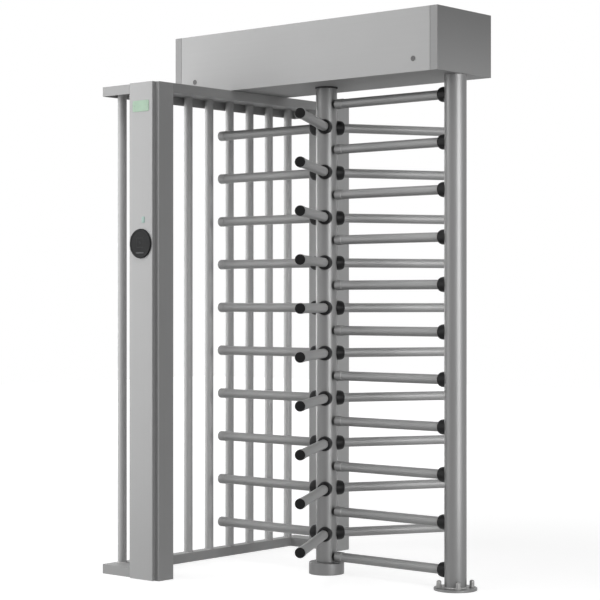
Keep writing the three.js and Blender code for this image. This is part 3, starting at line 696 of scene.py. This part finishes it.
def dress_arms(stem, body, nodes, rows_z, wings, axis_x, seat, reach):
    """Makes every tube, collar, ferrule and plug of a set of arms that point to -X."""
    for part, profile in arm_profiles(seat, reach).items():
        name = f"{stem}_{part}"
        material, slot = ARM_FINISH[part]
        shape = bmesh.new()
        lathe(shape, [(radius, axis_x - along) for radius, along in profile], ARM_SIDES, axis="x")
        copies = run_tree(
            wings_and_rows, name, mesh_of(shape, name), Rows=len(nodes), Lowest_Row=rows_z[0],
            Row_Pitch=rows_z[1] - rows_z[0], Wings=wings, Material=material,
        )
        covers = nodes if part == "tubes" else []
        finish_piece(name, copies, body, *covers, slot=slot)
        print(name, len(copies.polygons), "faces")


WINGS = 3
arm_reach = -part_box(tiers[0])[0].x
dress_arms("rotor", "rotor", tiers, tier_z, WINGS, 0, column_radius, arm_reach)

# %% [markdown]
# The comb is the same arm, welded to a post, one row between each two rows of the rotor, so that
# nobody can slip back round the column.

# %% Barrier comb
comb_reach = post_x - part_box(comb[0])[0].x
dress_arms("comb", "frame", comb, comb_z, 1, post_x, post_radius, comb_reach)

# %% [markdown]
# ## Column, post and floor fittings
# The column is a heavy tube that turns on a spigot in the floor base and runs up through a rubber
# seal into the head; the seal's black also paints the shade of the gap there. All of these are
# round, so each is turned from a profile.

# %% Column, seal and floor pivot
ROUND_SIDES = 72
COLUMN_WALL = 0.0045
TUBE_LIP = 0.0012
SEAL_GAP = 0.0008
SEAL_BEVEL = 0.0015
SEAL_RIM = ((-1, 0), (0, 1))
BASE_FOOT = ((-1, 0), (0, 1))
BASE_HEIGHT = 0.05
BASE_ROUNDING = 0.005
BASE_GROOVE = ((6, 0), (5, -1.5), (2, -1.5), (1, 0))
SPIGOT_FIT = 0.0003
SPIGOT_TIP = ((0, -1), (-1, 0))


def turned_piece(name, profile, node, material, axis="z", centre=(0, 0, 0), closed=True):
    """A piece turned from one profile; a closed profile runs round a bore, an open one ends on
    the axis at both ends."""
    shape = bmesh.new()
    lathe(shape, profile, ROUND_SIDES, axis=axis, centre=centre, closed=closed)
    return finish_piece(name, mesh_of(shape, name, material), BODY_OF[node], node)


def tube_profile(outer, wall, low, high):
    inner = outer - wall
    return [
        (inner, low), (outer - TUBE_LIP, low), (outer, low + TUBE_LIP),
        (outer, high - TUBE_LIP), (outer - TUBE_LIP, high), (inner, high),
    ]


low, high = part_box("rotor_column")
column = tube_profile(column_radius, COLUMN_WALL, low.z, high.z)
turned_piece("column_tube", column, "rotor_column", tube_upright)

low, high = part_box("column_seal")
seal_radius = half_size("column_seal").x
seal_bore = column_radius + SEAL_GAP
seal = [
    (seal_bore, low.z + SEAL_BEVEL), (seal_bore + SEAL_BEVEL, low.z),
    *steps_from(seal_radius, low.z, SEAL_RIM), (seal_radius, high.z), (seal_bore, high.z),
]
# The seal's black is partly its own and partly painted shade of the gap where the column enters
# the head.
turned_piece("seal_ring", seal, "column_seal", black_seal)

base_radius = half_size("floor_pivot_base").x
base_rounding = (base_radius - BASE_ROUNDING, BASE_HEIGHT - BASE_ROUNDING)
spigot_radius = column_radius - COLUMN_WALL - SPIGOT_FIT
spigot_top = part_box("floor_pivot_base")[1].z
base = [
    (0, 0), *steps_from(base_radius, 0, BASE_FOOT), *arc(base_rounding, BASE_ROUNDING, 0, 90, 6),
    *steps_from(column_radius, BASE_HEIGHT, BASE_GROOVE), (spigot_radius, BASE_HEIGHT),
    *steps_from(spigot_radius, spigot_top, SPIGOT_TIP), (0, spigot_top),
]
turned_piece("pivot_base", base, "floor_pivot_base", tube_upright, closed=False)
print("column", round(column_radius / MM * 2), "mm across, base", round(base_radius / MM * 2))

# %% [markdown]
# The barrier post is welded to a round flange. The weld is a small rounded bead, a little uneven
# where the torch paused, and it keeps a duller skin than the polished tube.

# %% Post, flange and weld
POST_WALL = 0.003
FLANGE_FOOT = ((-0.6, 0), (0, 0.6))
FLANGE_ROUNDING = 0.0015
WELD_STEPS = 120
WELD_SIZE = 0.0045
WELD_IN_TUBE = 0.0008
WELD_IN_PLATE = 0.0004
WELD_CURVE = ((0.72, 0.5), (0.34, 0.8))
WELD_RIPPLES = ((0.1, 40, 0), (0.08, 7, 1))

low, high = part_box("barrier_post")
post_centre = (post_x, 0, 0)
post = tube_profile(post_radius, POST_WALL, low.z, high.z)
turned_piece("post_tube", post, "barrier_post", tube_upright, centre=post_centre)

flange_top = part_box("barrier_flange")[1].z
flange_radius = half_size("barrier_flange").x
flange_corner = (flange_radius - FLANGE_ROUNDING, flange_top - FLANGE_ROUNDING)
flange = [
    (0, 0), *steps_from(flange_radius, 0, FLANGE_FOOT),
    *arc(flange_corner, FLANGE_ROUNDING, 0, 90, 4), (0, flange_top),
]
turned_piece(
    "flange_plate", flange, "barrier_flange", tube_upright, centre=post_centre, closed=False,
)


def weld_bead(name, radius, height, centre, body):
    """A ring of weld in the corner between a tube and a plate, sunk a little into both. Each
    ripple has a share of the bead's size, a count round the tube and a shift."""
    shape = bmesh.new()
    rings = []
    for k in range(WELD_STEPS):
        turn = 2 * math.pi * k / WELD_STEPS
        size = WELD_SIZE * sum(
            (share * math.sin(count * turn + shift) for share, count, shift in WELD_RIPPLES), 1,
        )
        section = [(-WELD_IN_TUBE, -WELD_IN_PLATE), (size, -WELD_IN_PLATE)]
        section += [(out * size, up * size) for out, up in WELD_CURVE]
        section.append((-WELD_IN_TUBE, size))
        rings.append([
            shape.verts.new((
                centre[0] + (radius + out) * math.cos(turn),
                centre[1] + (radius + out) * math.sin(turn), height + up,
            ))
            for out, up in section
        ])
    for k, ring in enumerate(rings):
        after = rings[(k + 1) % WELD_STEPS]
        for j in range(len(ring)):
            beside = (j + 1) % len(ring)
            shape.faces.new((ring[j], after[j], after[beside], ring[beside]))
    return finish_piece(name, mesh_of(shape, name, zinc), body, slot="satin_steel")


weld_bead("post_weld", post_radius, flange_top, post_centre, "frame")
print("flange", round(flange_radius / MM * 2), "mm across")

# %% [markdown]
# Four anchors hold the flange. A domed cap nut covers the end of each stud, so that nothing
# catches a shoe. Washer, chamfered hexagon and dome are drawn once, and a second small tree
# places them four times on a circle, each turned a little differently, as nuts end up.

# %% Anchor bolts
WASHER_RADIUS = 0.012
WASHER_TOP = 0.0025
WASHER_FOOT = ((-0.2, 0), (0, 0.4))
WASHER_RIM = ((0, -0.7), (-0.8, 0))
WASHER_SIDES = 32
NUT_BASE = 0.0024
NUT_TOP = 0.0145
NUT_ACROSS_FLATS = 0.019
NUT_CHAMFER = 0.0012
NUT_CROWN = 0.96
CAP_IN_NUT = 0.003
CAP_RADIUS = 0.0098
CAP_RISE = 0.007
CAP_STEPS = 6
CAP_SIDES = 24
NUT_TWIST = 0.7
FIRST_ANCHOR_AT = 45


def hexagon_nut(shape, across_flats, low, high):
    """A hexagon prism whose top corners are chamfered, as a nut's are. Each ring has a point on
    every corner and on the middle of every flat."""
    flat = across_flats / 2
    corner = across_flats / math.sqrt(3)
    rings = []
    for reach, height in ((corner, low), (corner, high - NUT_CHAMFER), (flat * NUT_CROWN, high)):
        ring = []
        for k in range(12):
            turn = math.radians(30 * k)
            out = min(reach, corner if k % 2 == 0 else flat)
            ring.append(shape.verts.new((out * math.cos(turn), out * math.sin(turn), height)))
        rings.append(ring)
    for first, second in zip(rings, rings[1:]):
        bridge(shape, first, second)
    shape.faces.new(list(reversed(rings[0])))
    shape.faces.new(rings[-1])


def anchor_part(floor, top):
    """Washer, nut and cap of one anchor, from the flange's face up to the top of the cap."""
    shape = bmesh.new()
    washer_top = floor + WASHER_TOP
    lathe(shape, [
        (0, floor), *steps_from(WASHER_RADIUS, floor, WASHER_FOOT),
        *steps_from(WASHER_RADIUS, washer_top, WASHER_RIM), (0, washer_top),
    ], WASHER_SIDES)
    hexagon_nut(shape, NUT_ACROSS_FLATS, floor + NUT_BASE, floor + NUT_TOP)
    sunk = floor + NUT_TOP - CAP_IN_NUT
    cap = [(0, sunk), (CAP_RADIUS, sunk)]
    for k in range(CAP_STEPS):
        turn = math.radians(90 * k / CAP_STEPS)
        cap.append((CAP_RADIUS * math.cos(turn), top - CAP_RISE + CAP_RISE * math.sin(turn)))
    lathe(shape, cap + [(0, top)], CAP_SIDES)
    return mesh_of(shape, "anchor")


def circle_tree():
    tree = CopyTree(
        "parts_on_a_circle", Count="Int", Radius="Float", Centre="Vector", Turn="Float",
    )
    circle = tree.node("GeometryNodeMeshCircle", None, {
        "Vertices": tree.size("Count"), "Radius": tree.size("Radius"),
    })
    placed = tree.node("GeometryNodeTransform", None, {
        "Geometry": circle, "Translation": tree.size("Centre"),
        "Rotation": tree.along_z(tree.size("Turn")),
    })
    twist = tree.along_z(tree.node("GeometryNodeInputIndex") * NUT_TWIST)
    return tree.close(tree.copies(placed, tree.size("Part"), twist))


bolts = rows_of("anchor_bolt_")
bolt_axis = middle(bolts[0])
bolt_circle = math.hypot(bolt_axis.x - post_x, bolt_axis.y)
anchor = anchor_part(flange_top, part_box(bolts[0])[1].z)
anchors = run_tree(
    circle_tree(), "anchors", anchor, Count=len(bolts), Radius=bolt_circle,
    Centre=(post_x, 0, 0), Turn=math.radians(FIRST_ANCHOR_AT), Material=forged,
)
finish_piece("anchor_set", anchors, "frame", *bolts)
print(len(bolts), "anchors on a circle of", round(bolt_circle / MM * 2), "mm")

# %% [markdown]
# ## Guard
# A row of upright tubes stands on a welded rail and ends under a folded tray. The tubes are a
# row of one part too, copied along Y by the same kind of tree.

# %% Guard tubes and rail
RAIL_HEIGHT = 0.04
RAIL_WIDTH = 0.05
RAIL_EDGE = 0.0025
GUARD_RADIUS = 0.019
GUARD_COUNT = 9
GUARD_SIDES = 32
GUARD_INSET = 0.03
GUARD_IN_RAIL = 0.004
SHARP_TURN = 0.5


def line_tree():
    tree = CopyTree("parts_in_a_line", Count="Int", Start="Vector", Step="Vector")
    line = tree.points(tree.size("Count"), tree.size("Start"), tree.size("Step"))
    return tree.close(tree.copies(line, tree.size("Part")))


def prism(shape, outline, low, high):
    """An upright block with the outline's plan."""
    floor, roof = ([shape.verts.new((x, y, z)) for x, y in outline] for z in (low, high))
    shape.faces.new(list(reversed(floor)))
    shape.faces.new(roof)
    bridge(shape, floor, roof)


def round_edges(shape, edges, width):
    bmesh.ops.bevel(
        shape, geom=edges, offset=width, segments=3, profile=0.5, affect="EDGES",
        clamp_overlap=True,
    )


grille_low, grille_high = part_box("guard_grille")
guard_x = grille_low.x + GUARD_INSET
guard_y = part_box("front_cabinet_housing")[1].y
guard_step = -2 * guard_y / (GUARD_COUNT - 1)

shape = bmesh.new()
foot = RAIL_HEIGHT - GUARD_IN_RAIL
lathe(shape, [
    (0, foot), (GUARD_RADIUS, foot), (GUARD_RADIUS, grille_high.z), (0, grille_high.z),
], GUARD_SIDES)
guard_tubes = run_tree(
    line_tree(), "guard_tubes", mesh_of(shape, "guard_tube"), Count=GUARD_COUNT,
    Start=(guard_x, guard_y, 0), Step=(0, guard_step, 0), Material=guard_steel,
)
finish_piece("guard_tubes", guard_tubes, "frame", slot="satin_steel")

shape = bmesh.new()
inner = grille_low.x + RAIL_WIDTH
prism(shape, [
    (grille_low.x, grille_low.y), (grille_high.x, grille_low.y), (grille_high.x, guard_y),
    (inner, guard_y), (inner, -guard_y), (grille_high.x, -guard_y),
    (grille_high.x, grille_high.y), (grille_low.x, grille_high.y),
], 0, RAIL_HEIGHT)
sharp = [edge for edge in shape.edges if edge.calc_face_angle(0) > SHARP_TURN]
round_edges(shape, sharp, RAIL_EDGE)
rail = mesh_of(shape, "guard_rail", tray_steel)
finish_piece("guard_rail", rail, "frame", "guard_grille")
for k in range(GUARD_COUNT):
    place = (guard_x, guard_y + k * guard_step, 0)
    weld_bead(f"tube_weld_{k + 1}", GUARD_RADIUS, RAIL_HEIGHT, place, "frame")
print(GUARD_COUNT, "guard tubes", round(guard_step / MM, 1), "mm apart")

# %% [markdown]
# ## Sheet metal
# The head, the cabinets and the tray are folded sheet. Folded edges are never sharp: they bend
# round about the sheet's own thickness, and that thin bright line is what makes sheet look like
# sheet. The grain runs along the length that the sheet was cut in.

# %% Folded sheet pieces
for node, material, width in (
    # the chassis's darker steel is painted shade on the head's underside and ends
    ("head_chassis", chassis_steel_painted_shade, 1.2),
    ("head_lid", sheet_across, 0.9),
    ("head_front_cover", sheet_across, 0.8),
    ("front_cabinet_housing", sheet_upright, 1.2),
    ("front_cabinet_cover", sheet_upright, 0.8),
    ("rear_cabinet_housing", sheet_upright, 1.2),
    ("rear_cabinet_cover", sheet_upright, 0.8),
    ("guard_top_tray", tray_steel, 1.2),
):
    piece = soften(node, width, material)
    print(node, len(piece.data.polygons), "faces")

# %% [markdown]
# ## Reader, lens and locks
# The reader is a shallow round puck with a rounded rim and a face sunk by a millimetre. It is
# turned towards -Y, the side that people come from.

# %% Card reader
READER_BOSS = 0.0455
READER_RIM = 0.0035
READER_FOOT = ((-1, 0), (0, 1))
DISH_DEPTH = 0.001
DISH_RADIUS = 0.051
DISH_CORNER = 0.0525
DISH_ROUNDING = 0.0008
DISH_MIDDLE = 0.03

reader_low, reader_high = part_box("card_reader")
reader_centre = middle("card_reader")
reader_radius = half_size("card_reader").x
reader_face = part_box("front_cabinet_cover")[0].y
proud = reader_face - reader_low.y
dish = proud - DISH_DEPTH
boss = reader_face - reader_high.y
reader = [
    (0, boss), (READER_BOSS, boss), (READER_BOSS, 0), *steps_from(reader_radius, 0, READER_FOOT),
    *arc((reader_radius - READER_RIM, proud - READER_RIM), READER_RIM, 0, 90, 8),
    *arc((DISH_CORNER, proud - DISH_ROUNDING), DISH_ROUNDING, 90, 150, 3),
    (DISH_RADIUS, dish), (DISH_MIDDLE, dish), (0, dish),
]
turned_piece(
    "reader_puck", reader, "card_reader", black_reader, axis="-y",
    centre=(reader_centre.x, reader_face, reader_centre.z), closed=False,
)
print("reader", round(reader_radius / MM * 2), "mm across")

# %% [markdown]
# The reader's face carries a faint printed card outline with two arcs. Print is a fraction of a
# millimetre of ink, too thin to see as a step, but a strip with a little height of its own
# keeps its place in every view.

# %% Print on the reader
PRINT_WIDTH = 0.0016
PRINT_DEPTH = 0.0004
PRINT_SUNK = 0.0001
PRINT_ABOVE = 0.004
CARD_HALF = 0.02
CARD_CORNER = 0.004
SMALLEST_CORNER = 0.0005
CORNER_STEPS = 5
ARC_STEPS = 10
ARC_RADII = (0.006, 0.011)
ARC_SHIFT = 0.006


def ring_on_face(shape, points, lift, centre):
    """A ring of points across and up from a centre, lifted off a face that looks towards -Y."""
    return [
        shape.verts.new((centre[0] + across, centre[1] - lift, centre[2] + up))
        for across, up in points
    ]


def card_outline(shape, half, corner, centre):
    """A thin rounded square outline that stands a hair proud of the face."""
    loops = []
    for inset, lift in ((0, 0), (0, PRINT_DEPTH), (PRINT_WIDTH, PRINT_DEPTH), (PRINT_WIDTH, 0)):
        round_off = max(corner - inset, SMALLEST_CORNER)
        reach = half - inset - round_off
        points = []
        for quarter, (side, rise) in enumerate(((1, 1), (-1, 1), (-1, -1), (1, -1))):
            points += arc(
                (reach * side, reach * rise), round_off, 90 * quarter, 90 * quarter + 90,
                CORNER_STEPS,
            )
        loops.append(ring_on_face(shape, points, lift, centre))
    for first, second in zip(loops, loops[1:] + loops[:1]):
        bridge(shape, first, second)


def printed_arc(shape, radius, centre):
    """A thin quarter arc that stands a hair proud of the face."""
    outer = radius + PRINT_WIDTH
    corners = ((radius, 0), (radius, PRINT_DEPTH), (outer, PRINT_DEPTH), (outer, 0))
    lines = [
        ring_on_face(shape, arc((0, 0), reach, 0, 90, ARC_STEPS), lift, centre)
        for reach, lift in corners
    ]
    rings = list(zip(*lines))
    for first, second in zip(rings, rings[1:]):
        bridge(shape, first, second)
    shape.faces.new(list(reversed(rings[0])))
    shape.faces.new(rings[-1])


dish_face = reader_face - dish
print_spot = (reader_centre.x, dish_face + PRINT_SUNK, reader_centre.z + PRINT_ABOVE)
arc_spot = (print_spot[0] - ARC_SHIFT, print_spot[1], print_spot[2] - ARC_SHIFT)
shape = bmesh.new()
card_outline(shape, CARD_HALF, CARD_CORNER, print_spot)
for reach in ARC_RADII:
    printed_arc(shape, reach, arc_spot)
outline = mesh_of(shape, "reader_outline", print_grey)
finish_piece("reader_outline", outline, "frame", slot="black_plastic")
print("outline", len(outline.polygons), "faces")

# %% [markdown]
# Below the outline is a slim light bar, and above the reader a small window. Both are thin slabs
# with soft edges, let into their face by a hair. They aren't in the solids, so they replace none.

# %% Light bar and window
SLAB_EDGE = 0.0005
LIGHT_BAR = (0.046, 0.0012, 0.005)
LIGHT_BAR_SUNK = -0.0001
LIGHT_BAR_BELOW = -0.038
PASS_WINDOW = (0.017, 0.0012, 0.026)
PASS_WINDOW_SUNK = -0.0003
PASS_WINDOW_ACROSS = 0.014
PASS_WINDOW_ABOVE = 0.098


def soft_slab(name, size, centre, material, slot):
    """A small block with rounded edges; size is its full width, depth and height."""
    shape = bmesh.new()
    bmesh.ops.create_cube(shape, size=1)
    for vert in shape.verts:
        vert.co = Vector(part * full + spot for part, full, spot in zip(vert.co, size, centre))
    round_edges(shape, shape.edges[:], SLAB_EDGE)
    finish_piece(name, mesh_of(shape, name, material), "frame", slot=slot)


soft_slab("reader_window", LIGHT_BAR, (
    reader_centre.x, dish_face + LIGHT_BAR_SUNK, reader_centre.z + LIGHT_BAR_BELOW,
), indicator, "black_plastic")
soft_slab("pass_window", PASS_WINDOW, (
    reader_centre.x + PASS_WINDOW_ACROSS, reader_face + PASS_WINDOW_SUNK,
    reader_centre.z + PASS_WINDOW_ABOVE,
), pale_cyan, "green_lens")
print("light bar and window fitted")

# %% [markdown]
# The large lens near the cabinet's top is frosted, and lit from behind on the real gate. The two
# cam locks are nickel barrels with a key slot. Their solids have the whole shape already, so a
# softened copy is enough.

# %% Lens and locks
soften("status_lens", 0.7, pale_green, segments=3)
for side in ("left", "right"):
    soften("cover_lock_" + side, 0.35, dark_nickel)
print("lens and locks fitted")

# %% [markdown]
# ## Inside the head
# With the cover up the mechanism shows. These pieces keep the shape of their solids, with their
# edges broken as a machinist would. Plate and turned parts are plated, and the case is black. A
# solenoid is a plated yoke round a wrapped coil: one solid holds both, so the coil's finish goes
# on the round faces that lie inside the yoke.

# %% Mechanism
MECHANISM = {
    "top_bearing": (forged, 0.8), "mechanism_plate": (zinc, 0.8), "rotor_shaft": (zinc, 0.5),
    "centring_cam": (zinc, 0.6), "locking_disc": (zinc, 0.6), "shaft_nut": (forged, 0.8),
    "lock_pawl_1": (zinc, 0.6), "lock_pawl_2": (zinc, 0.6),
    "lock_plunger_1": (forged, 0.4), "lock_plunger_2": (forged, 0.4),
    "lock_solenoid_1": (zinc, 0.6), "lock_solenoid_2": (zinc, 0.6),
    "centring_lever": (zinc, 0.5), "centring_roller": (black_case, 0.6),
    "centring_spring": (forged, 0), "control_unit": (black_case, 1.2), "power_supply": (zinc, 0.6),
}
COIL_CLEARANCE = 0.00015
SIDE_FACE = 0.3


def wrap_coil(piece, node):
    """Gives the round faces inside a solenoid's yoke the finish of its wrapped coil."""
    piece.data.materials.append(coil_blue)
    centre = middle(node)
    reach = half_size(node).y - COIL_CLEARANCE
    for face in piece.data.polygons:
        off_axis = (face.center - centre).yz.length
        if abs(face.normal.x) < SIDE_FACE and off_axis < reach:
            face.material_index = 1


for node, (material, width) in MECHANISM.items():
    piece = soften(node, width, material)
    if node.startswith("lock_solenoid"):
        wrap_coil(piece, node)
print(len(MECHANISM), "mechanism pieces dressed")
